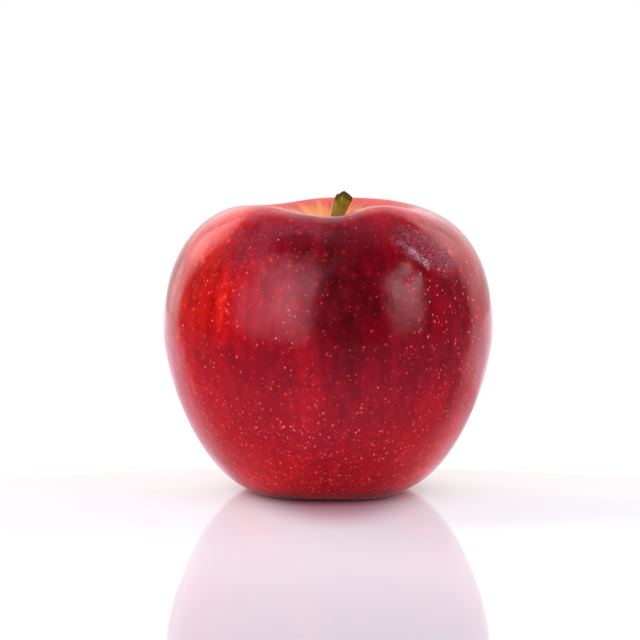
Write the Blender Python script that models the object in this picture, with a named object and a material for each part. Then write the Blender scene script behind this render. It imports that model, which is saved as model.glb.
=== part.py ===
"""A red apple standing on its base, in metres.

The middle of the base is the origin, +Z is up and the front faces -Y.
The fruit is a round body that five soft lobes pull out of true.
A woody stem stands in the hollow on top.
The dried remains of the flower sit in the basin underneath.
The sizes below are millimetres, and the angles are degrees, turning from +X towards +Y.
"""

import math

import bmesh
import bpy
from mathutils import Euler, Vector
from mathutils.geometry import interpolate_bezier

MM = 0.001
CLEARANCE = 0.3

# Half outline of the fruit
EQUATOR_RADIUS = 39.6
EQUATOR_HEIGHT = 39.1
CREST_RADIUS = 21.2
CREST_HEIGHT = 67.4
CREST_WIDTH = 5.6
SHOULDER_FULLNESS = 22.0
FLANK_FULLNESS = 12.3
BASE_RADIUS = 15.2
BASE_FLAT = 2.4
BASE_FULLNESS = 13.0

# Hollow that holds the stem
STEM_SOCKET_RADIUS = 1.95
STEM_SOCKET_FLOOR = 54.6
STEM_SOCKET_DEPTH = 1.8
HOLLOW_STEEPNESS = (2.2, 5.5)
HOLLOW_FLARE = 9.0

# Basin that holds the dried flower
EYE_SOCKET_RADIUS = 3.7
EYE_SOCKET_FLOOR = 8.2
EYE_SOCKET_DEPTH = 1.4
BASIN_LIP = 3.6
BASIN_FLARE = 2.5

# Five lobes: angle, lift of the crest, push of the side, drop of the base
LOBES = (
    (40.0, 1.1, 0.15, 0.9),
    (88.0, 1.7, 0.10, 1.0),
    (168.0, 0.75, 0.05, 1.0),
    (225.0, 2.25, 0.80, 0.9),
    (307.0, 2.45, -0.30, 1.0),
)
CREST_LOBE_WIDTH = 27.0
SIDE_LOBE_WIDTH = 30.0
BASE_LOBE_WIDTH = 21.0
CREASE_ANGLE = 277.5
CREASE_WIDTH = 14.0
CREASE_DEPTH = 0.7

# Between the lobes the base rises, and below the floor level it is trimmed flat
BASE_RISE = 0.65
REST_TRIM = 0.22

# Facets of the fruit
AROUND = 64
HOLLOW_STEPS = 9
SHOULDER_STEPS = 11
FLANK_STEPS = 12
BASIN_STEPS = 8

# Stem, from its root up: height, sideways lean, radius, tilt
STEM_STATIONS = (
    (0.0, 0.00, 1.50, 0.0),
    (1.7, 0.00, 1.60, 0.0),
    (4.1, 0.25, 1.50, 6.0),
    (6.9, 0.95, 1.50, 12.0),
    (9.5, 1.65, 1.58, 14.0),
    (11.7, 2.30, 1.73, 15.0),
    (13.7, 2.90, 1.92, 16.0),
    (15.0, 3.40, 2.12, 18.0),
    (15.6, 3.80, 2.10, 25.0),
    (16.6, 4.50, 1.55, 35.0),
)
STEM_AROUND = 16
STEM_RIBS = 5
STEM_RIB_DEPTH = 0.05
STEM_FORWARD_SHARE = 0.25

# Dried flower, from the top of its disc down
DISC_RADIUS = 3.4
DISC_THICKNESS = 1.6
DISC_CHAMFER = 0.35
DISC_AROUND = 30
TUFT_LEVELS = ((-1.0, 1.25), (-2.1, 1.0), (-3.1, 1.1), (-3.9, 0.6))
TUFT_AROUND = 10

# Sepals: angle, relative length, curl of the tip
SEPALS = (
    (12.0, 1.00, 0.4),
    (86.0, 0.90, -0.5),
    (155.0, 1.06, 0.9),
    (229.0, 0.95, 0.0),
    (303.0, 1.02, -0.9),
)
SEPAL_THICKNESS = 0.66
SEPAL_HALF_WIDTHS = (0.95, 1.25, 1.42, 1.36, 1.12, 0.78, 0.34)
SEPAL_CUP = 0.28
SEPAL_TWIST = 0.12

# Colour as red, green and blue, then roughness
SKIN_FINISH = ((0.40, 0.025, 0.035), 0.28)
WOOD_FINISH = ((0.16, 0.12, 0.05), 0.70)
DRIED_FINISH = ((0.13, 0.08, 0.04), 0.85)


def turned(radius, degrees, height):
    """The point at a radius, an angle and a height."""
    angle = math.radians(degrees)
    return (radius * math.cos(angle), radius * math.sin(angle), height)


def bump(angle, centre, width):
    """How strongly a lobe centred on one angle is felt at another, from 0 to 1."""
    away = (angle - centre + 180.0) % 360.0 - 180.0
    return math.exp(-((away / width) ** 2))


def arc(start, start_handle, end_handle, end, steps):
    """Radius and height along one smooth stretch of an outline, without its last point."""
    corners = [Vector((radius, height, 0.0)) for radius, height in (start, start_handle, end_handle, end)]
    return [(point.x, point.y) for point in interpolate_bezier(*corners, steps + 1)[:-1]]


def half_outline(angle):
    """The fruit's outline at one angle, from the stem's socket over the crest to the flower's socket."""
    lift = sum(up * bump(angle, at, CREST_LOBE_WIDTH) for at, up, _, _ in LOBES)
    lift -= CREASE_DEPTH * bump(angle, CREASE_ANGLE, CREASE_WIDTH)
    push = sum(out * bump(angle, at, SIDE_LOBE_WIDTH) for at, _, out, _ in LOBES)
    drop = sum(down * bump(angle, at, BASE_LOBE_WIDTH) for at, _, _, down in LOBES)

    hollow = (STEM_SOCKET_RADIUS, STEM_SOCKET_FLOOR + STEM_SOCKET_DEPTH)
    crest = (CREST_RADIUS + 0.5 * push, CREST_HEIGHT + lift)
    side = (EQUATOR_RADIUS + push, EQUATOR_HEIGHT)
    foot_height = BASE_RISE * (1.0 - drop) - REST_TRIM
    outer_foot = (BASE_RADIUS + 0.5 * BASE_FLAT, foot_height)
    inner_foot = (BASE_RADIUS - 0.5 * BASE_FLAT, foot_height)
    eye = (EYE_SOCKET_RADIUS, EYE_SOCKET_FLOOR - EYE_SOCKET_DEPTH)

    points = [(STEM_SOCKET_RADIUS, STEM_SOCKET_FLOOR)]
    points += arc(
        hollow,
        (hollow[0] + HOLLOW_STEEPNESS[0], hollow[1] + HOLLOW_STEEPNESS[1]),
        (crest[0] - HOLLOW_FLARE, crest[1]),
        crest,
        HOLLOW_STEPS,
    )
    points += arc(
        crest,
        (crest[0] + CREST_WIDTH, crest[1]),
        (side[0], side[1] + SHOULDER_FULLNESS),
        side,
        SHOULDER_STEPS,
    )
    points += arc(
        side,
        (side[0], side[1] - FLANK_FULLNESS),
        (outer_foot[0] + BASE_FULLNESS, foot_height),
        outer_foot,
        FLANK_STEPS,
    )
    points += [outer_foot]
    points += arc(
        inner_foot,
        (inner_foot[0] - BASIN_LIP, foot_height),
        (eye[0] + BASIN_FLARE, eye[1]),
        eye,
        BASIN_STEPS,
    )
    points += [eye, (EYE_SOCKET_RADIUS, EYE_SOCKET_FLOOR)]
    # The lowest parts are trimmed level, so that the fruit rests on small flats.
    return [(radius, max(height, 0.0)) for radius, height in points]


def ringed_mesh(name, rings):
    """A closed body through rings of points in millimetres, with a flat face over each end."""
    bm = bmesh.new()
    loops = [[bm.verts.new(Vector(point) * MM) for point in ring] for ring in rings]
    for upper, lower in zip(loops, loops[1:]):
        for i in range(len(upper)):
            j = (i + 1) % len(upper)
            bm.faces.new((upper[i], upper[j], lower[j], lower[i]))
    for end in (loops[0], loops[-1]):
        bm.faces.new(end)
    bmesh.ops.recalc_face_normals(bm, faces=bm.faces)
    mesh = bpy.data.meshes.new(name)
    bm.to_mesh(mesh)
    bm.free()
    return mesh


def add_object(name, mesh, collection):
    """Links a new object that holds the mesh into a collection."""
    made = bpy.data.objects.new(name, mesh)
    collection.objects.link(made)
    return made


def dress(made, material_name, look, sharp_above):
    """Shades a body smooth up to an angle in degrees, and gives it its own plain material."""
    made.data.shade_smooth()
    made.data.set_sharp_from_angle(angle=math.radians(sharp_above))
    colour, roughness = look
    material = bpy.data.materials.new(material_name)
    material.use_nodes = True
    shader = material.node_tree.nodes["Principled BSDF"]
    shader.inputs["Base Color"].default_value = (*colour, 1.0)
    shader.inputs["Roughness"].default_value = roughness
    shader.inputs["Metallic"].default_value = 0.0
    made.data.materials.append(material)


def build_fruit():
    """The fruit in one piece, flesh and skin, with a socket at each end of its axis."""
    angles = [360.0 * i / AROUND for i in range(AROUND)]
    outlines = [half_outline(angle) for angle in angles]
    rings = []
    for level in zip(*outlines):
        rings.append([turned(radius, angle, height) for angle, (radius, height) in zip(angles, level)])
    fruit = add_object("fruit", ringed_mesh("fruit", rings), bpy.context.scene.collection)
    dress(fruit, "red_skin", SKIN_FINISH, 50.0)
    return fruit


def build_stem():
    """The woody stem: slightly ribbed, leaning right, thicker towards its slanted cut end."""
    rings = []
    for height, lean, radius, tilt in STEM_STATIONS:
        centre = Vector((lean, -STEM_FORWARD_SHARE * lean, height))
        turn = Euler((0.0, math.radians(tilt), 0.0))
        ring = []
        for i in range(STEM_AROUND):
            angle = 360.0 * i / STEM_AROUND
            rib = 1.0 + STEM_RIB_DEPTH * math.cos(math.radians(STEM_RIBS * angle))
            point = Vector(turned(radius * rib, angle, 0.0))
            point.rotate(turn)
            ring.append(centre + point)
        rings.append(ring)
    stem = add_object("stem", ringed_mesh("stem", rings), bpy.context.scene.collection)
    stem.location = (0.0, 0.0, (STEM_SOCKET_FLOOR + CLEARANCE) * MM)
    dress(stem, "stem_wood", WOOD_FINISH, 50.0)
    return stem


def round_rings(levels, around):
    """Rings of a round body on the vertical axis, from its heights and radii."""
    return [[turned(radius, 360.0 * i / around, height) for i in range(around)] for height, radius in levels]


def sepal_mesh(name, degrees, length, curl):
    """One dried sepal: a cupped, pointed blade that leaves the disc downwards and bends outwards."""
    path = interpolate_bezier(
        Vector((1.7, 0.0, -1.1)),
        Vector((2.3, 0.0, -3.3)),
        Vector((2.3 + 1.6 * length, 0.0, -4.6)),
        Vector((2.0 + 4.3 * length, 0.0, -4.7 + 0.55 * curl)),
        len(SEPAL_HALF_WIDTHS),
    )
    half = 0.5 * SEPAL_THICKNESS
    outward = Vector(turned(1.0, degrees, 0.0))
    across = Vector(turned(1.0, degrees + 90.0, 0.0))
    upward = Vector((0.0, 0.0, 1.0))
    rings = []
    for i, (point, width) in enumerate(zip(path, SEPAL_HALF_WIDTHS)):
        slope = (path[min(i + 1, len(path) - 1)] - path[max(i - 1, 0)]).normalized()
        normal = upward * slope.x - outward * slope.z
        centre = outward * point.x + upward * point.z + across * (SEPAL_TWIST * curl * i / len(path))
        ring = []
        # Across the blade and back: how far from the middle, and which face.
        for share, face in ((0, 1), (0.6, 1), (1, 0), (0.6, -1), (0, -1), (-0.6, -1), (-1, 0), (-0.6, 1)):
            droop = SEPAL_CUP * width * share * share
            ring.append(centre + across * (width * share) + normal * (half * face - droop))
        rings.append(ring)
    return ringed_mesh(name, rings)


def build_calyx():
    """The dried flower in one piece: a disc in the socket, with a withered tuft and five sepals grown on."""
    disc_levels = (
        (0.0, DISC_RADIUS - DISC_CHAMFER),
        (-DISC_CHAMFER, DISC_RADIUS),
        (DISC_CHAMFER - DISC_THICKNESS, DISC_RADIUS),
        (-DISC_THICKNESS, DISC_RADIUS - DISC_CHAMFER),
    )
    disc = ringed_mesh("calyx", round_rings(disc_levels, DISC_AROUND))
    calyx = add_object("calyx", disc, bpy.context.scene.collection)

    grown_on = bpy.data.collections.new("grown_on")
    bpy.context.scene.collection.children.link(grown_on)
    add_object("tuft", ringed_mesh("tuft", round_rings(TUFT_LEVELS, TUFT_AROUND)), grown_on)
    for number, (angle, length, curl) in enumerate(SEPALS, start=1):
        name = f"sepal_{number}"
        add_object(name, sepal_mesh(name, angle, length, curl), grown_on)

    join = calyx.modifiers.new("join", "BOOLEAN")
    join.operation = "UNION"
    join.operand_type = "COLLECTION"
    join.collection = grown_on
    join.solver = "EXACT"
    bpy.context.view_layer.objects.active = calyx
    bpy.ops.object.modifier_apply(modifier=join.name)
    for joined in list(grown_on.objects):
        bpy.data.objects.remove(joined)
    bpy.data.collections.remove(grown_on)

    calyx.location = (0.0, 0.0, (EYE_SOCKET_FLOOR - CLEARANCE) * MM)
    dress(calyx, "dried_sepal", DRIED_FINISH, 40.0)
    return calyx


def stand_on_origin(pieces, fruit):
    """Hangs the pieces on one empty, placed so that the middle of the fruit's box is over the origin."""
    whole = bpy.data.objects.new("apple", None)
    bpy.context.scene.collection.objects.link(whole)
    for piece in pieces:
        piece.parent = whole
    xs = [vertex.co.x for vertex in fruit.data.vertices]
    ys = [vertex.co.y for vertex in fruit.data.vertices]
    whole.location = (-(min(xs) + max(xs)) / 2.0, -(min(ys) + max(ys)) / 2.0, 0.0)


def main():
    """Clears the scene and builds the three pieces."""
    for old in list(bpy.data.objects):
        bpy.data.objects.remove(old)
    fruit = build_fruit()
    stem = build_stem()
    calyx = build_calyx()
    stand_on_origin((fruit, stem, calyx), fruit)


main()
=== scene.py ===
"""A red apple on a pale floor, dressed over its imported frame.

The fruit, the stem and the dried flower each get a finer mesh in the place of their plain solid.
The fruit's own frame holds everywhere: +Z is up, the front faces -Y, and lengths are metres unless
a name or a docstring says millimetres. Longitudes are degrees that turn from +X towards +Y.
"""

import logging
import math
from collections.abc import Callable
from dataclasses import dataclass
from enum import Enum

import bpy
from mathutils import Matrix, Vector

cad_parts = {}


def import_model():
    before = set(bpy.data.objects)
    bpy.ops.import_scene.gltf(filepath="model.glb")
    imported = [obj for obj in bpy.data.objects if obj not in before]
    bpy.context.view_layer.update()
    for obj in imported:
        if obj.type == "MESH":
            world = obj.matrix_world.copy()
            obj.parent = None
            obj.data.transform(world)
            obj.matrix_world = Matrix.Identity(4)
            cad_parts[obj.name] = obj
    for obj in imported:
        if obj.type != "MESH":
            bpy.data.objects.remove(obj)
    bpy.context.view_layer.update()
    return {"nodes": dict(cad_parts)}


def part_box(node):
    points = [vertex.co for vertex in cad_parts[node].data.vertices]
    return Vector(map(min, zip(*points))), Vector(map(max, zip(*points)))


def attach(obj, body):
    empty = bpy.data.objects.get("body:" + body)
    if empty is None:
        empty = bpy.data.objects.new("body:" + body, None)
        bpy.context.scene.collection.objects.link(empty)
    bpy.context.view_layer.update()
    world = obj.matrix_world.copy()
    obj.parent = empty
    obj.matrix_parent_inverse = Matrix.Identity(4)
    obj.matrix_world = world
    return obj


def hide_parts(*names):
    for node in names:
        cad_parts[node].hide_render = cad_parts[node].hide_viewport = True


MM = 0.001
MIDDLE_HEIGHT = 0.036
MIDDLE = (0.0, 0.0, MIDDLE_HEIGHT)
ORIGIN = (0.0, 0.0, 0.0)
LOG = logging.getLogger("apple")

Socket = bpy.types.NodeSocket
Colour = tuple[float, float, float]
Point = tuple[float, float, float]
Scale = tuple[tuple[float, Colour], ...]
WHITE: Colour = (1.0, 1.0, 1.0)


def turned(longitude: float, radius: float = 1.0, height: float = 0.0) -> Point:
    """The point at a longitude in degrees, a radius and a height."""
    angle = math.radians(longitude)
    return (radius * math.cos(angle), radius * math.sin(angle), height)


class Sheet:
    """Adds nodes to one node tree and joins them, so that a finish reads as a list of steps."""

    def __init__(self, tree: bpy.types.NodeTree) -> None:
        """Starts on an empty tree."""
        self.tree = tree
        tree.nodes.clear()

    def add(self, kind: str, **settings: object) -> bpy.types.Node:
        """Adds a node with its settings.

        Args:
            kind: The node's class name, without the word ShaderNode.
            settings: Properties of the node and their values.

        Returns:
            The node.
        """
        node = self.tree.nodes.new("ShaderNode" + kind)
        for name, value in settings.items():
            setattr(node, name, value)
        return node

    def feed(self, target: Socket, value: object) -> None:
        """Gives a socket its value.

        Args:
            target: The socket.
            value: Another socket to join to it, or a constant to set on it.
        """
        if isinstance(value, Socket):
            self.tree.links.new(value, target)
        else:
            target.default_value = value

    def fill(self, node: bpy.types.Node, **values: object) -> bpy.types.Node:
        """Gives a node's sockets their values.

        Args:
            node: The node.
            values: The values by the sockets' names, in small letters with _ for a space.

        Returns:
            The node.
        """
        for name, value in values.items():
            self.feed(node.inputs[name.replace("_", " ").title().replace("Ior", "IOR")], value)
        return node

    def fill_in_turn(self, node: bpy.types.Node, values: tuple[object, ...]) -> bpy.types.Node:
        """Gives a node's first sockets their values, one after the other.

        Args:
            node: The node.
            values: Sockets or constants.

        Returns:
            The node.
        """
        for target, value in zip(node.inputs, values):
            self.feed(target, value)
        return node

    def number(self, operation: str, *values: object, clamp: bool = False) -> Socket:
        """Does one sum on numbers.

        Args:
            operation: The sum, as the Math node names it.
            values: Sockets or constants.
            clamp: Whether the result is held between 0 and 1.

        Returns:
            The result.
        """
        node = self.add("Math", operation=operation, use_clamp=clamp)
        return self.fill_in_turn(node, values).outputs[0]

    def vector(self, operation: str, *values: object) -> Socket:
        """Does one sum on vectors.

        Args:
            operation: The sum, as the Vector Math node names it.
            values: Sockets or constants.

        Returns:
            The result, which is a number for a dot product, a length or a distance.
        """
        node = self.fill_in_turn(self.add("VectorMath", operation=operation), values)
        is_number = operation in ("DOT_PRODUCT", "LENGTH", "DISTANCE")
        return node.outputs["Value" if is_number else "Vector"]

    def scaled(self, vector: Socket, by: Point) -> Socket:
        """A vector with each part multiplied."""
        return self.vector("MULTIPLY", vector, by)

    def part(self, vector: Socket, name: str) -> Socket:
        """The X, Y or Z of a vector."""
        return self.fill_in_turn(self.add("SeparateXYZ"), (vector,)).outputs[name]

    def total(self, *values: object) -> Socket:
        """Adds several numbers.

        Args:
            values: Sockets or constants.

        Returns:
            Their sum.
        """
        result = values[0]
        for value in values[1:]:
            result = self.number("ADD", result, value)
        return result

    def times(self, *values: object) -> Socket:
        """Multiplies several numbers.

        Args:
            values: Sockets or constants.

        Returns:
            Their product.
        """
        result = values[0]
        for value in values[1:]:
            result = self.number("MULTIPLY", result, value)
        return result

    def weighted(self, *pairs: tuple[Socket, object]) -> Socket:
        """The sum of several numbers, each multiplied by its own weight."""
        return self.total(*(self.times(value, weight) for value, weight in pairs))

    def either(self, share: Socket, first: object, second: object) -> Socket:
        """Turns one number into another.

        Args:
            share: 0 for the first, 1 for the second.
            first: A socket or a constant.
            second: A socket or a constant.

        Returns:
            The number between them.
        """
        node = self.add("Mix")
        for index, value in ((0, share), (2, first), (3, second)):
            self.feed(node.inputs[index], value)
        return node.outputs[0]

    def ramp(self, value: Socket, stops: Scale) -> Socket:
        """Reads a colour off a scale of colours.

        Args:
            value: The place on the scale, between 0 and 1.
            stops: Places and their colours.

        Returns:
            The colour.
        """
        node = self.add("ValToRGB")
        scale = node.color_ramp
        while len(scale.elements) > 1:
            scale.elements.remove(scale.elements[-1])
        scale.elements[0].position = stops[0][0]
        scale.elements[0].color = (*stops[0][1], 1.0)
        for position, colour in stops[1:]:
            scale.elements.new(position).color = (*colour, 1.0)
        return self.fill_in_turn(node, (value,)).outputs["Color"]

    def blend(self, share: object, under: object, over: object, mode: str = "MIX") -> Socket:
        """Lays one colour over another.

        Args:
            share: How much of the upper colour shows, between 0 and 1.
            under: The lower colour, a socket or a constant.
            over: The upper colour, a socket or a constant.
            mode: How the two are joined, as the Mix node names it.

        Returns:
            The colour that results.
        """
        node = self.add("Mix", data_type="RGBA", blend_type=mode, clamp_factor=True)
        self.feed(node.inputs[0], share)
        for index, colour in ((6, under), (7, over)):
            self.feed(node.inputs[index], colour if isinstance(colour, Socket) else (*colour, 1.0))
        return node.outputs[2]

    def place_in_mm(self) -> Socket:
        """The place on the piece, in millimetres of the fruit's frame."""
        place = self.add("TexCoord").outputs["Object"]
        return self.fill(self.add("Mapping"), vector=place, scale=(1.0 / MM,) * 3).outputs["Vector"]

    def relief(self, height_in_mm: Socket) -> Socket:
        """Normals that follow a fine relief."""
        bump = self.fill(self.add("Bump"), distance=MM, strength=1.0, height=height_in_mm)
        return bump.outputs["Normal"]

    def mixed(self, share: Socket, first: Socket, second: Socket) -> Socket:
        """The first shader, or the second one where a share is 1."""
        return self.fill_in_turn(self.add("MixShader"), (share, first, second)).outputs[0]

    def end(self, kind: str, shader: Socket) -> None:
        """Sends a shader to the tree's output, of the kind Material, Light or World."""
        self.fill(self.add("Output" + kind), surface=shader)

    def shade(self, **values: object) -> None:
        """Ends a material on one shader, with its values as in fill."""
        self.end("Material", self.fill(self.add("BsdfPrincipled"), **values).outputs[0])


def new_material(name: str) -> tuple[bpy.types.Material, Sheet]:
    """Makes an empty material.

    Args:
        name: The material's name.

    Returns:
        The material and its sheet.
    """
    material = bpy.data.materials.new(name)
    material.use_nodes = True
    return material, Sheet(material.node_tree)


@dataclass(frozen=True)
class Fade:
    """A soft turn from start to end, as a number goes from low to high."""

    low: float
    high: float
    start: float = 0.0
    end: float = 1.0

    def on(self, sheet: Sheet, value: Socket) -> Socket:
        """Follows a number.

        Args:
            sheet: Where the nodes go.
            value: The number.

        Returns:
            A number between start and end.
        """
        ease = sheet.fill(
            sheet.add("MapRange", interpolation_type="SMOOTHSTEP"),
            value=value,
            from_min=self.low,
            from_max=self.high,
            to_min=self.start,
            to_max=self.end,
        )
        return ease.outputs["Result"]


@dataclass(frozen=True)
class Grain:
    """Soft noise between 0 and 1, with how close, fine, rough, warped and stretched it is."""

    scale: float
    detail: float = 2.0
    rough: float = 0.5
    warp: float = 0.0
    stretch: Point = (1.0, 1.0, 1.0)

    def on(self, sheet: Sheet, place: Socket) -> Socket:
        """Finds the noise at a place.

        Args:
            sheet: Where the nodes go.
            place: The place.

        Returns:
            The noise.
        """
        if self.stretch != (1.0, 1.0, 1.0):
            place = sheet.scaled(place, self.stretch)
        noise = sheet.fill(
            sheet.add("TexNoise"),
            vector=place,
            scale=self.scale,
            detail=self.detail,
            roughness=self.rough,
            distortion=self.warp,
        )
        return noise.outputs["Fac"]

    def swing(self, sheet: Sheet, place: Socket) -> Socket:
        """The noise at a place, about 0."""
        return sheet.number("SUBTRACT", self.on(sheet, place), 0.5)


class SkinPlace:
    """A place on the fruit's skin, as the sockets that every part of its finish reads."""

    def __init__(self, sheet: Sheet, wander: Grain, wander_turn: float) -> None:
        """Finds the place, and how the streaks wander there.

        Args:
            sheet: Where the nodes go.
            wander: The slow noise that the streaks follow.
            wander_turn: How far the noise turns them, in radians.
        """
        self.sheet = sheet
        self.place = sheet.place_in_mm()
        self.height = sheet.part(self.place, "Z")
        level = sheet.scaled(self.place, (1.0, 1.0, 0.0))
        self.radius = sheet.vector("LENGTH", level)
        self.around = sheet.vector("NORMALIZE", level)
        self.wander = wander.on(sheet, self.place)
        meridian = sheet.vector("ADD", self.around, sheet.scaled(self.place, (0.0, 0.0, 1.0)))
        turn = sheet.scaled(self.wander, (wander_turn, wander_turn, 0.0))
        self.meridian = sheet.vector("ADD", meridian, turn)

    def towards(self, longitude: float) -> Socket:
        """How far the place faces a longitude: the cosine of the angle between them."""
        return self.sheet.vector("DOT_PRODUCT", self.around, turned(longitude))

    def on_height(self, fade: Fade) -> Socket:
        """A fade that follows the place's height."""
        return fade.on(self.sheet, self.height)

    def off_line(self, ends: tuple[Point, Point]) -> Socket:
        """Measures how far the place is from a straight line.

        Args:
            ends: The line's two ends, in millimetres.

        Returns:
            The distance in millimetres.
        """
        sheet = self.sheet
        first, last = (Vector(end) for end in ends)
        along = (last - first).normalized()
        from_start = sheet.vector("SUBTRACT", self.place, tuple(first))
        run = sheet.vector("DOT_PRODUCT", from_start, tuple(along))
        held = sheet.number("MINIMUM", sheet.number("MAXIMUM", run, 0.0), (last - first).length)
        on_line = sheet.scaled(held, tuple(along))
        return sheet.vector("DISTANCE", from_start, on_line)


@dataclass(frozen=True)
class Patch:
    """A broad patch of the skin, which is strongest in its middle and fades to nothing at its edge.

    Longitude and half angle are degrees, height and half height are millimetres.
    """

    longitude: float
    half_angle: float
    height: float
    half_height: float
    strength: float
    core: float = 0.2

    def on(self, at: SkinPlace) -> Socket:
        """Finds how strong the patch is at a place.

        Args:
            at: The place on the skin.

        Returns:
            The patch's strength there.
        """
        edge = math.cos(math.radians(self.half_angle))
        core = math.cos(math.radians(self.half_angle * self.core))
        sideways = Fade(edge, core, 0.0, self.strength).on(at.sheet, at.towards(self.longitude))
        off_height = at.sheet.number("SUBTRACT", at.height, self.height)
        upward = Fade(self.half_height, self.half_height * self.core)
        upward = upward.on(at.sheet, at.sheet.number("ABSOLUTE", off_height))
        return at.sheet.times(sideways, upward)


@dataclass(frozen=True)
class Streaks:
    """Streaks from stem to flower: how many there are along a radian and along a mm of height."""

    around: float
    upward: float
    strength: float
    detail: float = 2.0
    rough: float = 0.55

    def on(self, at: SkinPlace) -> Socket:
        """How much the streaks lift or lower the blush at a place."""
        run = Grain(1.0, self.detail, self.rough, stretch=(self.around, self.around, self.upward))
        return at.sheet.times(run.swing(at.sheet, at.meridian), 2.0 * self.strength)


@dataclass(frozen=True)
class Dots:
    """Pale pores of the skin, spread evenly through space.

    Spacing and size, which is the largest half width, are millimetres. The core and the ring's two
    radii are shares of the size.
    """

    spacing: float
    size: float
    shift: Point = ORIGIN
    stretch: Point = (1.0, 1.0, 1.0)
    core: float = 0.05
    ring: tuple[float, float] = (3.2, 0.9)
    rag: Grain = Grain(3.2, 1.0)
    raggedness: float = 1.1
    strengths: Fade = Fade(0.0, 1.0, 0.20, 0.85)
    ringed: Fade = Fade(0.60, 0.90)

    def on(self, at: SkinPlace) -> tuple[Socket, Socket]:
        """Finds the dots at a place.

        Args:
            at: The place on the skin.

        Returns:
            The dots and the soft rings round some of them, each as a share between 0 and 1.
        """
        sheet = at.sheet
        place = sheet.vector("MULTIPLY_ADD", at.place, self.stretch, self.shift)
        size = self.size / self.spacing
        scattered = sheet.fill(sheet.add("TexVoronoi"), vector=place, scale=1.0 / self.spacing)
        rag = sheet.times(self.rag.swing(sheet, place), size * self.raggedness)
        distance = sheet.total(scattered.outputs["Distance"], rag)
        draws = sheet.fill_in_turn(sheet.add("SeparateColor"), (scattered.outputs["Color"],))
        dot = Fade(size, size * self.core).on(sheet, distance)
        dot = sheet.times(dot, self.strengths.on(sheet, draws.outputs[1]))
        outer, inner = (radius * size for radius in self.ring)
        ring = Fade(outer, inner).on(sheet, distance)
        return dot, sheet.times(ring, self.ringed.on(sheet, draws.outputs[0]))


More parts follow.
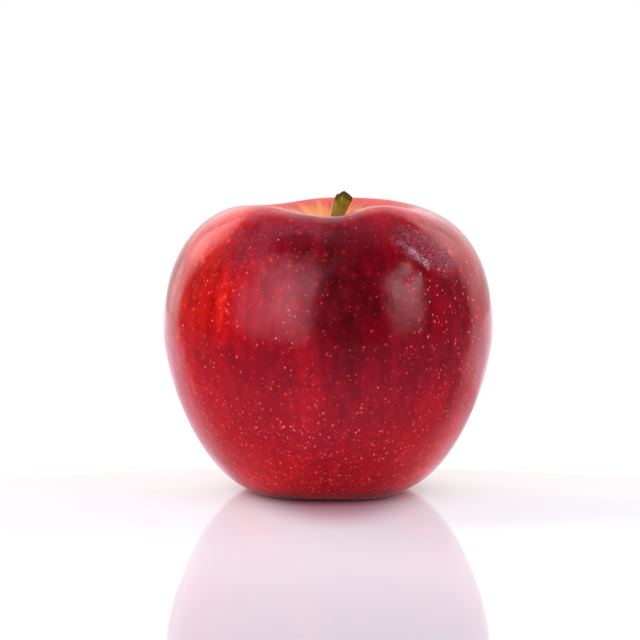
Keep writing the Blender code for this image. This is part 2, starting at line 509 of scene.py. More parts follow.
@dataclass(frozen=True)
class RedSkin:
    """The apple's waxy skin: crimson blush in streaks over a yellow ground, with pores and scuffs.

    Places, heights, radii and relief depths are millimetres. The blush is a number that patches,
    streaks, mottling and heights push up and down a scale of reds. Some colour is painted light:
    a painted pink sheen, a painted silver glint on the scuff, painted bounce light on the lower
    sides and painted shade just above the resting place.
    """

    wander: Grain = Grain(0.12)
    wander_turn: float = 0.10
    grain: Grain = Grain(2.4, 3.0, 0.7)

    patches: tuple[Patch, ...] = (
        # Left side, the lightest
        Patch(222.0, 30.0, 44.0, 32.0, 0.20),
        Patch(227.0, 9.0, 49.0, 14.0, 0.24),
        Patch(235.0, 8.0, 48.0, 14.0, 0.28),
        Patch(198.0, 34.0, 34.0, 40.0, 0.20),
        Patch(205.0, 27.0, 65.0, 12.0, 0.48),
        Patch(228.0, 9.0, 64.0, 6.0, 0.16),
        Patch(226.0, 22.0, 27.0, 16.0, 0.08),
        Patch(222.0, 14.0, 24.0, 12.0, 0.06),
        # Left of the front
        Patch(250.0, 15.0, 48.0, 16.0, 0.27),
        Patch(246.0, 14.0, 26.0, 13.0, 0.12),
        Patch(264.0, 9.0, 30.0, 14.0, 0.20),
        Patch(263.5, 5.0, 28.0, 20.0, 0.12),
        Patch(265.0, 11.0, 57.0, 9.0, -0.14),
        # Middle of the front, the darkest
        Patch(280.0, 15.0, 53.0, 25.0, -0.38),
        Patch(279.0, 16.0, 30.0, 16.0, -0.08),
        Patch(286.0, 12.0, 62.5, 8.0, 0.14),
        Patch(289.0, 6.0, 51.0, 10.0, 0.16),
        Patch(288.0, 8.0, 36.0, 17.0, 0.18),
        Patch(290.0, 34.0, 29.0, 12.0, 0.03),
        # Right of the front
        Patch(303.0, 26.0, 45.0, 30.0, -0.08),
        Patch(304.0, 10.0, 43.0, 14.0, 0.08),
        Patch(305.0, 15.0, 22.0, 15.0, 0.12),
        Patch(311.0, 10.0, 26.0, 9.0, 0.10),
        Patch(314.0, 9.0, 47.0, 10.0, 0.06),
        Patch(322.0, 10.0, 49.0, 11.0, -0.16),
        # Right side
        Patch(342.0, 30.0, 34.0, 40.0, 0.28),
        Patch(336.0, 32.0, 64.0, 15.0, 0.28),
        # Back
        Patch(60.0, 38.0, 46.0, 30.0, -0.12),
        Patch(100.0, 20.0, 30.0, 22.0, 0.18),
        Patch(150.0, 45.0, 42.0, 32.0, 0.25),
        # Foot: painted bounce light on the lower sides, and painted shade just above the resting
        # place
        Patch(238.0, 30.0, 8.0, 13.0, 0.20),
        Patch(318.0, 24.0, 8.0, 13.0, 0.18),
        Patch(222.0, 26.0, 4.5, 6.0, 0.13),
        Patch(328.0, 26.0, 4.5, 6.0, 0.14),
        Patch(237.0, 24.0, 0.4, 3.4, -0.34),
        Patch(307.0, 24.0, 0.4, 3.4, -0.34),
    )
    streaks: tuple[Streaks, ...] = (
        Streaks(6.0, 0.035, 0.24),
        Streaks(15.0, 0.110, 0.26, 4.0),
        Streaks(42.0, 0.300, 0.16, 4.0),
    )
    streaked_heights: Fade = Fade(10.0, 40.0, 0.55, 1.0)
    mottle: Grain = Grain(0.45, 5.0, 0.68)
    mottle_lift: float = 0.52
    # The first two are painted bounce light from the floor, lighter towards the bottom; the last
    # two lighten the crest
    painted_bounce_and_crest_lifts: tuple[Fade, ...] = (
        Fade(36.0, 12.0, 0.0, 0.28),
        Fade(14.0, 4.0, 0.0, 0.08),
        Fade(63.5, 69.0, 0.0, 0.38),
        Fade(67.4, 69.4, 0.0, 0.26),
    )
    few_ring_lifts: Fade = Fade(40.0, 58.0, 0.10, 0.34)
    many_ring_lift: float = 0.06
    blush: float = 0.44
    blush_range: float = 0.80
    blush_scale: Scale = (
        (0.00, (0.045, 0.0004, 0.0016)),
        (0.16, (0.085, 0.0006, 0.0032)),
        (0.32, (0.140, 0.0008, 0.0056)),
        (0.48, (0.210, 0.0012, 0.0080)),
        (0.64, (0.300, 0.0022, 0.0080)),
        (0.80, (0.410, 0.0050, 0.0075)),
        (0.92, (0.520, 0.0120, 0.0120)),
        (1.00, (0.620, 0.0300, 0.0300)),
    )
    sunlit: Patch = Patch(213.0, 27.0, 54.0, 24.0, 0.90)
    sunlit_tint: Colour = (1.0, 1.0, 0.15)

    # Painted sheen: pale pink laid over the colour low on the fruit, along the crest and on the
    # sides, in place of reflected light
    painted_sheen: Colour = (0.55, 0.22, 0.30)
    painted_sheen_below: Fade = Fade(42.0, 25.0)
    painted_sheen_above: Fade = Fade(6.0, 20.0, 0.003, 0.024)
    painted_sheen_crest: Fade = Fade(60.0, 66.5, 0.0, 0.036)
    painted_sheen_hazes: tuple[Patch, ...] = (
        Patch(243.5, 9.0, 48.0, 8.0, 0.070),
        Patch(219.0, 30.0, 9.0, 9.0, 0.035),
        Patch(323.0, 30.0, 9.0, 9.0, 0.035),
    )

    ground: Colour = (0.84, 0.36, 0.12)
    green_ground: Colour = (0.50, 0.42, 0.10)
    green_radii: Fade = Fade(9.0, 3.0)
    rays: Grain = Grain(1.0, 3.0, 0.6, stretch=(9.0, 9.0, 0.05))
    ray_length: float = 14.0
    sunny_side: float = 122.0
    sunny_length: float = 3.0
    hollow_reach: Fade = Fade(9.5, -1.0)
    hollow_heights: Fade = Fade(46.0, 54.0)
    basin_reach: Fade = Fade(2.0, -4.0, 0.0, 0.6)
    basin_heights: Fade = Fade(12.0, 8.0)

    rosy: Colour = (0.86, 0.13, 0.12)
    rosy_share: float = 0.48
    top_middle: Point = (0.0, 9.0, 66.0)
    top_reach: Fade = Fade(24.0, 14.0)

    scuff: Colour = (0.120, 0.008, 0.020)
    scuff_share: float = 0.70
    scuff_grain: Colour = (0.36, 0.085, 0.120)
    scuff_specks: Fade = Fade(0.46, 0.70, 0.0, 0.85)
    scuff_ends: tuple[Point, Point] = ((18.5, -26.8, 62.5), (26.0, -23.5, 58.0))
    scuff_reach: Fade = Fade(7.2, 4.0)
    rag: Grain = Grain(0.45, 3.0)
    raggedness: float = 3.0
    # Painted highlight: a silver glint in streaks at the scuff's lower edge, in place of light
    # caught by its wrinkles
    painted_glint_colour: Colour = (0.66, 0.50, 0.56)
    painted_glint_ends: tuple[Point, Point] = ((16.8, -28.2, 62.3), (22.8, -27.9, 57.0))
    painted_glint_reach: Fade = Fade(3.1, 1.2, 0.0, 0.8)
    painted_glint_heights: Fade = Fade(63.0, 57.5, 0.35, 1.0)
    painted_glint_streaks: Grain = Grain(1.0, 4.0, 0.75, stretch=(2.3, 4.0, 2.0))
    painted_glint_streak_edge: Fade = Fade(0.46, 0.60)

    worn_side: float = 248.0
    worn_reach: Fade = Fade(0.84, 0.98)
    worn_heights: Fade = Fade(48.0, 60.0)
    worn_gaps: Fade = Fade(0.35, 0.60)
    worn_specks: Fade = Fade(0.35, 0.74, 0.06, 0.28)

    pore: Colour = (0.88, 0.165, 0.175)
    fine_pore: Colour = (0.62, 0.085, 0.100)
    many_dots: Dots = Dots(1.35, 0.36, stretch=(1.0, 1.0, 0.8))
    few_dots: Dots = Dots(2.05, 0.35, shift=(31.0, 7.0, 13.0))
    fine_dots: Dots = Dots(0.92, 0.24, shift=(5.0, 17.0, 3.0))
    fine_heights: Fade = Fade(34.0, 16.0)
    crowded_heights: Fade = Fade(54.0, 26.0, 0.36, 1.0)
    crowd_wander: float = 30.0
    sparse: Patch = Patch(280.0, 26.0, 52.0, 26.0, -0.70)
    dense: Patch = Patch(318.0, 24.0, 50.0, 20.0, 0.70)

    dull: Grain = Grain(0.22, 3.0)
    dull_roughness: Fade = Fade(0.3, 0.7, 0.09, 0.15)
    crest_roughness: Fade = Fade(66.0, 69.5, 0.0, 0.14)
    scuff_roughness: float = 0.12
    worn_roughness: float = 0.06
    top_roughness: float = 0.22
    specular: float = 0.5
    top_dulling: float = 0.38
    lip_middle: Point = (0.0, -24.0, 67.5)
    lip_dulling: Fade = Fade(9.5, 4.0, 0.0, 0.36)
    peel: Grain = Grain(0.8)
    peel_depth: float = 0.020
    swell: Grain = Grain(0.20, 1.0)
    swell_depth: float = 0.10
    wrinkle: Grain = Grain(0.8, 3.0, 0.65, 1.0, (1.6, 1.6, 3.0))
    wrinkle_depth: float = 0.07
    grain_depth: float = 0.011
    few_dot_height: float = 0.015
    many_dot_height: float = 0.010

    def material(self) -> bpy.types.Material:
        """Makes the skin's material, layer by layer from the blush up to the wax.

        Returns:
            The material.
        """
        made, sheet = new_material("waxy_red_skin")
        at = SkinPlace(sheet, self.wander, self.wander_turn)
        many, many_rings = self.many_dots.on(at)
        few, few_rings = self.few_dots.on(at)
        fine, _ = self.fine_dots.on(at)
        thinned = sheet.total(self.sparse.on(at), 1.0)
        many = sheet.times(many, self.crowd(at), thinned)
        few = sheet.times(few, thinned)
        fine = sheet.times(fine, at.on_height(self.fine_heights))
        grain = self.grain.on(sheet, at.place)
        top = self.top_reach.on(sheet, sheet.vector("DISTANCE", at.place, self.top_middle))
        scuffed, painted_glint = self.scuffs(at)
        scuff_specks = sheet.times(scuffed, self.scuff_specks.on(sheet, grain))
        worn = self.worn(at)
        worn_specks = sheet.times(worn, self.worn_specks.on(sheet, grain))
        green = self.green_radii.on(sheet, at.radius)

        colour = self.blushed(at, few_rings, many_rings)
        for share, over, mode in (
            (self.sunlit.on(at), self.sunlit_tint, "MULTIPLY"),
            # painted pink sheen
            (self.painted_sheen_share(at), self.painted_sheen, "MIX"),
            (sheet.times(top, self.rosy_share), self.rosy, "MIX"),
            (self.bare(at), sheet.blend(green, self.ground, self.green_ground), "MIX"),
            (sheet.times(scuffed, self.scuff_share), self.scuff, "MIX"),
            (scuff_specks, self.scuff_grain, "MIX"),
            # painted silver glint
            (painted_glint, self.painted_glint_colour, "MIX"),
            (worn_specks, self.scuff_grain, "MIX"),
            (fine, self.fine_pore, "MIX"),
            (many, self.pore, "MIX"),
            (few, self.pore, "MIX"),
        ):
            colour = sheet.blend(share, colour, over, mode)

        lip = self.lip_dulling.on(sheet, sheet.vector("DISTANCE", at.place, self.lip_middle))
        dulled = sheet.total(sheet.times(top, self.top_dulling), lip)
        marks = sheet.weighted(
            (scuffed, self.scuff_roughness), (worn, self.worn_roughness), (top, self.top_roughness)
        )
        height_in_mm = sheet.weighted(
            (self.peel.on(sheet, at.place), self.peel_depth),
            (self.swell.on(sheet, at.place), self.swell_depth),
            (sheet.times(self.wrinkle.on(sheet, at.place), scuffed), self.wrinkle_depth),
            (grain, self.grain_depth),
            (few, self.few_dot_height),
            (many, self.many_dot_height),
        )
        sheet.shade(
            base_color=colour,
            roughness=sheet.total(self.wax_roughness(at), marks),
            ior=1.30,
            specular_ior_level=sheet.number("SUBTRACT", self.specular, dulled),
            sheen_weight=0.16,
            sheen_roughness=0.30,
            sheen_tint=(1.0, 0.42, 0.50, 1.0),
            normal=sheet.relief(height_in_mm),
        )
        return made

    def blushed(self, at: SkinPlace, few_rings: Socket, many_rings: Socket) -> Socket:
        """Colours the blush.

        Args:
            at: The place on the skin.
            few_rings: The rings round the sparse pores.
            many_rings: The rings round the close pores.

        Returns:
            The blush's colour there.
        """
        sheet = at.sheet
        streaks = sheet.total(*(streaks.on(at) for streaks in self.streaks))
        blush = sheet.total(
            *(patch.on(at) for patch in self.patches),
            *(at.on_height(lift) for lift in self.painted_bounce_and_crest_lifts),
            sheet.weighted(
                (streaks, at.on_height(self.streaked_heights)),
                (self.mottle.swing(sheet, at.place), self.mottle_lift),
                (few_rings, at.on_height(self.few_ring_lifts)),
                (many_rings, self.many_ring_lift),
            ),
            self.blush,
        )
        return sheet.ramp(sheet.times(blush, self.blush_range), self.blush_scale)

    def painted_sheen_share(self, at: SkinPlace) -> Socket:
        """Finds how much painted pink sheen lies over the blush.

        Args:
            at: The place on the skin.

        Returns:
            The share, between 0 and 1.
        """
        band = at.sheet.times(at.on_height(self.painted_sheen_below), at.on_height(self.painted_sheen_above))
        painted_sheen_hazes = (sheen_patch.on(at) for sheen_patch in self.painted_sheen_hazes)
        return at.sheet.total(band, at.on_height(self.painted_sheen_crest), *painted_sheen_hazes)

    def bare(self, at: SkinPlace) -> Socket:
        """Finds the ground colour, which shows in ragged rays in the hollow and round the flower.

        Args:
            at: The place on the skin.

        Returns:
            Its share, between 0 and 1.
        """
        sheet = at.sheet
        rays = (self.rays.on(sheet, at.meridian), -self.ray_length)
        sunny = (at.towards(self.sunny_side), -self.sunny_length)
        reach = sheet.total(at.radius, sheet.weighted(rays, sunny))
        hollow, basin = (
            sheet.times(fade.on(sheet, reach), at.on_height(heights))
            for fade, heights in (
                (self.hollow_reach, self.hollow_heights),
                (self.basin_reach, self.basin_heights),
            )
        )
        return sheet.number("MAXIMUM", hollow, basin)

    def scuffs(self, at: SkinPlace) -> tuple[Socket, Socket]:
        """Finds the scuffed skin on the right shoulder and the painted silvery glint, in streaks,
        at its lower edge.

        Args:
            at: The place on the skin.

        Returns:
            The scuff's share and the painted glint's share.
        """
        sheet = at.sheet
        rag = sheet.times(self.rag.on(sheet, at.place), self.raggedness)
        scuffed = self.scuff_reach.on(sheet, sheet.total(at.off_line(self.scuff_ends), rag))
        painted_glint = self.painted_glint_reach.on(sheet, sheet.total(at.off_line(self.painted_glint_ends), rag))
        painted_glint_streaks = self.painted_glint_streak_edge.on(sheet, self.painted_glint_streaks.on(sheet, at.place))
        return scuffed, sheet.times(painted_glint, painted_glint_streaks, at.on_height(self.painted_glint_heights))

    def worn(self, at: SkinPlace) -> Socket:
        """Finds the dull bloom on the front of the top.

        Args:
            at: The place on the skin.

        Returns:
            Its share, between 0 and 1.
        """
        front = self.worn_reach.on(at.sheet, at.towards(self.worn_side))
        gaps = self.worn_gaps.on(at.sheet, at.wander)
        return at.sheet.times(front, at.on_height(self.worn_heights), gaps)

    def crowd(self, at: SkinPlace) -> Socket:
        """Finds how thickly the close pores stand.

        Args:
            at: The place on the skin.

        Returns:
            The share of them that show, between 0 and 1.
        """
        wandering = at.sheet.total(at.height, at.sheet.times(at.wander, self.crowd_wander))
        crowd = self.crowded_heights.on(at.sheet, wandering)
        return at.sheet.number("ADD", crowd, self.dense.on(at), clamp=True)

    def wax_roughness(self, at: SkinPlace) -> Socket:
        """The clean wax's roughness at a place."""
        dull = self.dull_roughness.on(at.sheet, self.dull.on(at.sheet, at.place))
        return at.sheet.total(dull, at.on_height(self.crest_roughness))


@dataclass(frozen=True)
class StemBark:
    """The stem's bark: olive green with brown fibres, greyer towards the root.

    The cut's peak, the root heights and the edge are millimetres.
    """

    fibre: Grain = Grain(1.0, 4.0, 0.6, 0.4, (1.7, 1.7, 0.22))
    speck: Grain = Grain(2.2, 3.0, 0.6)
    fibre_share: float = 0.75
    fibre_scale: Scale = (
        (0.28, (0.060, 0.030, 0.004)),
        (0.42, (0.150, 0.120, 0.004)),
        (0.58, (0.230, 0.215, 0.006)),
        (0.76, (0.330, 0.310, 0.020)),
    )
    root: Colour = (0.19, 0.125, 0.050)
    root_heights: Fade = Fade(69.6, 66.0, 0.0, 0.7)
    weathered: Colour = (0.050, 0.022, 0.004)
    weathered_edge: Fade = Fade(2.4, 1.4, 0.0, 0.9)
    weathered_rag: float = 1.2
    peak: Point = (3.4, 0.0, 72.2)
    slope: float = 0.77
    fibre_height: float = 0.25
    speck_height: float = 0.06

    def material(self) -> bpy.types.Material:
        """Makes the bark's material.

        Returns:
            The material.
        """
        made, sheet = new_material("olive_stem_bark")
        place = sheet.place_in_mm()
        across, height = sheet.part(place, "X"), sheet.part(place, "Z")
        fibre, speck = self.fibre.on(sheet, place), self.speck.on(sheet, place)
        value = sheet.weighted((fibre, self.fibre_share), (speck, 1.0 - self.fibre_share))
        colour = sheet.ramp(value, self.fibre_scale)
        colour = sheet.blend(self.root_heights.on(sheet, height), colour, self.root)
        aside = sheet.number("ABSOLUTE", sheet.number("SUBTRACT", across, self.peak[0]))
        lowered = sheet.total(height, sheet.times(aside, self.slope))
        below = sheet.number("SUBTRACT", self.peak[2], lowered)
        ragged = sheet.total(below, sheet.times(speck, self.weathered_rag))
        colour = sheet.blend(self.weathered_edge.on(sheet, ragged), colour, self.weathered)
        relief = sheet.weighted((fibre, self.fibre_height), (speck, self.speck_height))
        sheet.shade(
            base_color=colour,
            roughness=0.62,
            ior=1.45,
            specular_ior_level=0.14,
            normal=sheet.relief(relief),
        )
        return made


@dataclass(frozen=True)
class CutWood:
    """The stem's dried cut end: dark brown, fibrous and matt."""

    pith: Grain = Grain(2.6, 4.0, 0.7, 0.5)
    pith_height: float = 0.3
    scale: Scale = (
        (0.32, (0.018, 0.010, 0.006)),
        (0.52, (0.060, 0.030, 0.014)),
        (0.74, (0.160, 0.085, 0.035)),
    )

    def material(self) -> bpy.types.Material:
        """Makes the cut end's material.

        Returns:
            The material.
        """
        made, sheet = new_material("dark_cut_wood")
        pith = self.pith.on(sheet, sheet.place_in_mm())
        relief = sheet.relief(sheet.times(pith, self.pith_height))
        sheet.shade(base_color=sheet.ramp(pith, self.scale), roughness=0.85, normal=relief)
        return made


@dataclass(frozen=True)
class DriedFlower:
    """Dry, papery brown sepals with paler downy edges."""

    vein: Grain = Grain(2.4, 4.0, 0.65, 0.6, (1.0, 1.0, 0.5))
    down: Grain = Grain(6.0, 2.0, 0.6)
    vein_share: float = 0.7
    vein_height: float = 0.25
    scale: Scale = (
        (0.30, (0.035, 0.020, 0.010)),
        (0.50, (0.120, 0.070, 0.032)),
        (0.70, (0.300, 0.210, 0.120)),
    )

    def material(self) -> bpy.types.Material:
        """Makes the dried flower's material.

        Returns:
            The material.
        """
        made, sheet = new_material("dry_brown_sepal")
        place = sheet.place_in_mm()
        vein, down = self.vein.on(sheet, place), self.down.on(sheet, place)
        value = sheet.weighted((vein, self.vein_share), (down, 1.0 - self.vein_share))
        sheet.shade(
            base_color=sheet.ramp(value, self.scale),
            roughness=0.88,
            sheen_weight=0.25,
            normal=sheet.relief(sheet.times(value, self.vein_height)),
        )
        return made


@dataclass(frozen=True)
class Wrinkles:
    """Noise that wrinkles a piece: its size and depth in millimetres, and the value that stays."""

    name: str
    size: float
    middle: float
    depth: float


class Bench:
    """What a maker does by hand: picks faces, and moves, scales, insets and smooths them."""

    merge_distance = 0.002
    quad_angle = math.radians(60.0)

    @staticmethod
    def take(piece: bpy.types.Object) -> None:
        """Selects one piece and nothing else, and makes it the active one.

        Args:
            piece: The piece.
        """
        bpy.ops.object.select_all(action="DESELECT")
        piece.select_set(True)
        bpy.context.view_layer.objects.active = piece

    @staticmethod
    def open_all() -> None:
        """Enters edit mode with all of the active piece selected."""
        bpy.ops.object.mode_set(mode="EDIT")
        bpy.ops.mesh.select_all(action="SELECT")

    @staticmethod
    def put_down() -> None:
        """Leaves edit mode."""
        if bpy.context.mode != "OBJECT":
            bpy.ops.object.mode_set(mode="OBJECT")

    @staticmethod
    def set_down() -> bpy.types.Object:
        """Fixes a new primitive's place in its mesh, and returns it."""
        bpy.ops.object.transform_apply(location=True, rotation=True, scale=True)
        return bpy.context.object

    @staticmethod
    def copy_of_node(node: bpy.types.Object, name: str) -> bpy.types.Object:
        """A fresh, merged copy of a plain solid, in quads where it can be.

        Args:
            node: The plain solid from the frame.
            name: The new piece's name.

        Returns:
            The new piece, still selected.
        """
        mesh = node.data.copy()
        mesh.name = name
        mesh.materials.clear()
        piece = bpy.data.objects.new(name, mesh)
        bpy.context.scene.collection.objects.link(piece)
        Bench.take(piece)
        bpy.ops.mesh.customdata_custom_splitnormals_clear()
        Bench.open_all()
        bpy.ops.mesh.remove_doubles(threshold=Bench.merge_distance * MM)
        angle = Bench.quad_angle
        bpy.ops.mesh.tris_convert_to_quads(face_threshold=angle, shape_threshold=angle)
        bpy.ops.mesh.normals_make_consistent(inside=False)
        Bench.put_down()
        bpy.ops.object.shade_smooth()
        return piece

    @staticmethod
    def pick(piece: bpy.types.Object, what: str, wanted: Callable[[object], bool]) -> None:
        """Selects the parts of a piece that pass a test, and leaves edit mode on.

        Args:
            piece: The active piece.
            what: VERT or FACE.
            wanted: The test, given a vertex or a face.
        """
        Bench.put_down()
        bpy.ops.object.mode_set(mode="EDIT")
        bpy.ops.mesh.select_mode(type=what)
        bpy.ops.mesh.select_all(action="DESELECT")
        bpy.ops.object.mode_set(mode="OBJECT")
        for item in piece.data.vertices if what == "VERT" else piece.data.polygons:
            item.select = bool(wanted(item))
        bpy.ops.object.mode_set(mode="EDIT")

    @staticmethod
    def move(by: Point, **settings: object) -> None:
        """Moves what is selected by millimetres."""
        bpy.ops.transform.translate(value=Vector(by) * MM, **settings)

    @staticmethod
    def scale(by: Point, about: Point = ORIGIN) -> None:
        """Scales what is selected about a point in millimetres."""
        bpy.ops.transform.resize(value=by, center_override=Vector(about) * MM)

    @staticmethod
    def turn(longitude: float) -> None:
        """Turns what is selected round the core, with the sign that no window asks for."""
        angle = -math.radians(longitude)
        bpy.ops.transform.rotate(value=angle, orient_axis="Z", center_override=ORIGIN)

    @staticmethod
    def inset(thickness: float, depth: float = 0.0) -> None:
        """Insets the selected faces and raises or sinks them, in millimetres."""
        bpy.ops.mesh.inset(thickness=thickness * MM, depth=depth * MM)

    @staticmethod
    def apply(piece: bpy.types.Object, kind: str, **settings: object) -> None:
        """Puts a modifier on a piece and applies it.

        Args:
            piece: The piece.
            kind: The modifier's type.
            settings: Its properties and their values.
        """
        Bench.put_down()
        Bench.take(piece)
        modifier = piece.modifiers.new(kind.lower(), kind)
        for name, value in settings.items():
            setattr(modifier, name, value)
        bpy.ops.object.modifier_apply(modifier=modifier.name)

    @staticmethod
    def smooth(piece: bpy.types.Object, levels: int) -> None:
        """Divides and rounds a piece's faces."""
        Bench.apply(piece, "SUBSURF", levels=levels, render_levels=levels)

    @staticmethod
    def push(piece: bpy.types.Object, at: Point, by: Point, reach: float) -> None:
        """Presses a soft dent or swelling into a piece.

        Args:
            piece: The piece.
            at: The middle, in millimetres.
            by: How far it moves, in millimetres.
            reach: How far round the middle it is felt, in millimetres.
        """
        Bench.take(piece)
        middle = Vector(at) * MM
        nearest = min(piece.data.vertices, key=lambda vertex: (vertex.co - middle).length).index
        Bench.pick(piece, "VERT", lambda vertex: vertex.index == nearest)
        Bench.move(
            by,
            use_proportional_edit=True,
            proportional_edit_falloff="SMOOTH",
            proportional_size=reach * MM,
        )
        Bench.put_down()

    @staticmethod
    def displace(piece: bpy.types.Object, wrinkles: Wrinkles, **settings: object) -> None:
        """Displaces a piece's surface by noise.

        Args:
            piece: The piece.
            wrinkles: The noise.
            settings: More of the modifier's properties and their values.
        """
        noise = bpy.data.textures.new(wrinkles.name, "CLOUDS")
        noise.noise_scale = wrinkles.size * MM
        noise.noise_depth = 2
        settings.setdefault("texture_coords", "LOCAL")
        Bench.apply(
            piece,
            "DISPLACE",
            texture=noise,
            mid_level=wrinkles.middle,
            strength=wrinkles.depth * MM,
            **settings,
        )

    @staticmethod
    def another(form: bpy.types.Object) -> bpy.types.Object:
        """Copies a form, with its own mesh, and selects all of it in edit mode.

        Args:
            form: What is copied.

        Returns:
            The copy.
        """
        Bench.put_down()
        piece = form.copy()
        piece.data = form.data.copy()
        bpy.context.scene.collection.objects.link(piece)
        Bench.take(piece)
        Bench.open_all()
        return piece

    @staticmethod
    def join(pieces: list[bpy.types.Object], name: str) -> bpy.types.Object:
        """Joins pieces into one.

        Args:
            pieces: The pieces.
            name: The new piece's name.

        Returns:
            The new piece.
        """
        Bench.put_down()
        Bench.take(pieces[0])
        for piece in pieces:
            piece.select_set(True)
        bpy.ops.object.join()
        joined = Bench.set_down()
        joined.name = name
        joined.data.name = name
        return joined


def hand_over(piece: bpy.types.Object, node: str) -> None:
    """Puts a finished piece in its node's place and reports it.

    Args:
        piece: The finished piece.
        node: The plain solid it stands for.
    """
    Bench.put_down()
    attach(piece, "root")
    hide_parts(node)
    piece.data.calc_loop_triangles()
    triangles = len(piece.data.loop_triangles)
    LOG.info("%s: %d triangles, in the place of %s", piece.name, triangles, node)


@dataclass
class Fruit:
    """Flesh and skin in one piece, smoothed and made slightly uneven.

    Lengths are millimetres. The dents and swellings are a middle, a move and a reach.
    """

    node: str = "fruit"
    smoothing: int = 2
    unevenness: Wrinkles = Wrinkles("slow_unevenness", 13.0, 1.0, 0.22)
    still_base: tuple[float, float] = (2.0, 9.0)
    dents: tuple[tuple[Point, Point, float], ...] = (
        ((18.3, -31.7, 54.9), (-0.13, 0.19, -0.14), 4.2),
        ((21.5, -30.0, 54.0), (0.10, -0.12, 0.08), 4.0),
        ((-18.5, -33.5, 50.0), (0.10, 0.16, -0.05), 7.0),
        ((12.0, 21.5, 69.3), (0.0, 0.0, 0.45), 12.0),
    )

    def build(self, nodes: dict[str, bpy.types.Object]) -> bpy.types.Object:
        """Makes the fruit's finer mesh.

        Args:
            nodes: The plain solids by name.

        Returns:
            The fruit, without its finish.
        """
        piece = Bench.copy_of_node(nodes[self.node], "apple_fruit")
        Bench.smooth(piece, self.smoothing)
        for at, by, reach in self.dents:
            Bench.push(piece, at, by, reach)
        self.make_uneven(piece)
        return piece

    def make_uneven(self, piece: bpy.types.Object) -> None:
        """Lets the skin sink a little here and there, but not where the fruit rests.

        Args:
            piece: The fruit.
        """
        free = piece.vertex_groups.new(name="free_skin")
        low, high = (height * MM for height in self.still_base)
        for vertex in piece.data.vertices:
            share = min(max((vertex.co.z - low) / (high - low), 0.0), 1.0)
            free.add([vertex.index], share, "REPLACE")
        Bench.displace(piece, self.unevenness, vertex_group=free.name)
        piece.vertex_groups.clear()

    def dress(self, piece: bpy.types.Object) -> None:
        """Gives the fruit its skin."""
        piece.data.materials.append(RedSkin().material())
        hand_over(piece, self.node)


@dataclass
class Stem:
    """The woody stem: flared where it leaves the fruit, with a hollowed, dark cut end.

    Lengths are millimetres. The hollow's steps are how far in and how far up each goes.
    """

    node: str = "stem"
    smoothing: int = 3
    foot_height: float = 57.6
    foot_swell: float = 1.2
    cut_drop: float = 2.2
    cut_lean: float = 0.6
    rim: float = 0.32
    hollow_steps: tuple[tuple[float, float], ...] = ((0.12, -0.30), (0.35, -0.05), (0.35, 0.12))
    fibres: Wrinkles = Wrinkles("fibres", 0.55, 0.75, 0.16)
    fibre_stretch: float = 7.0

    def build(self, nodes: dict[str, bpy.types.Object]) -> bpy.types.Object:
        """Makes the stem's finer mesh.

        Args:
            nodes: The plain solids by name.

        Returns:
            The stem, with its two materials.
        """
        piece = Bench.copy_of_node(nodes[self.node], "apple_stem")
        piece.data.materials.append(StemBark().material())
        piece.data.materials.append(CutWood().material())
        low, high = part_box(self.node)
        Bench.pick(piece, "VERT", lambda vertex: vertex.co.z < self.foot_height * MM)
        Bench.scale((self.foot_swell, self.foot_swell, 1.0), (0.0, 0.0, low.z / MM))
        self.open_cut(piece, high.z)
        Bench.smooth(piece, self.smoothing)
        self.raise_fibres(piece)
        return piece

    def open_cut(self, piece: bpy.types.Object, top: float) -> None:
        """Hollows the cut end inside a thin rim and gives it the darker wood.

        Args:
            piece: The stem.
            top: The height of the stem's highest point, in metres.
        """

        def on_cut(face: bpy.types.MeshPolygon) -> bool:
            """Whether a face belongs to the slanted end at the top."""
            return face.normal.z > self.cut_lean and face.center.z > top - self.cut_drop * MM

        Bench.pick(piece, "FACE", on_cut)
        bpy.ops.mesh.dissolve_faces()
        Bench.inset(self.rim)
        piece.active_material_index = 1
        bpy.ops.object.material_slot_assign()
        for thickness, depth in self.hollow_steps:
            Bench.inset(thickness, depth)
        Bench.put_down()

    def raise_fibres(self, piece: bpy.types.Object) -> None:
        """Raises long fibres and small knots on the bark.

        Args:
            piece: The stem.
        """
        run = bpy.data.objects.new("fibre_run", None)
        bpy.context.scene.collection.objects.link(run)
        run.scale = (1.0, 1.0, self.fibre_stretch)
        bpy.context.view_layer.update()
        Bench.displace(piece, self.fibres, texture_coords="OBJECT", texture_coords_object=run)
        bpy.data.objects.remove(run)

    def dress(self, piece: bpy.types.Object) -> None:
        """Puts the stem in its place, because its materials are already on."""
        hand_over(piece, self.node)


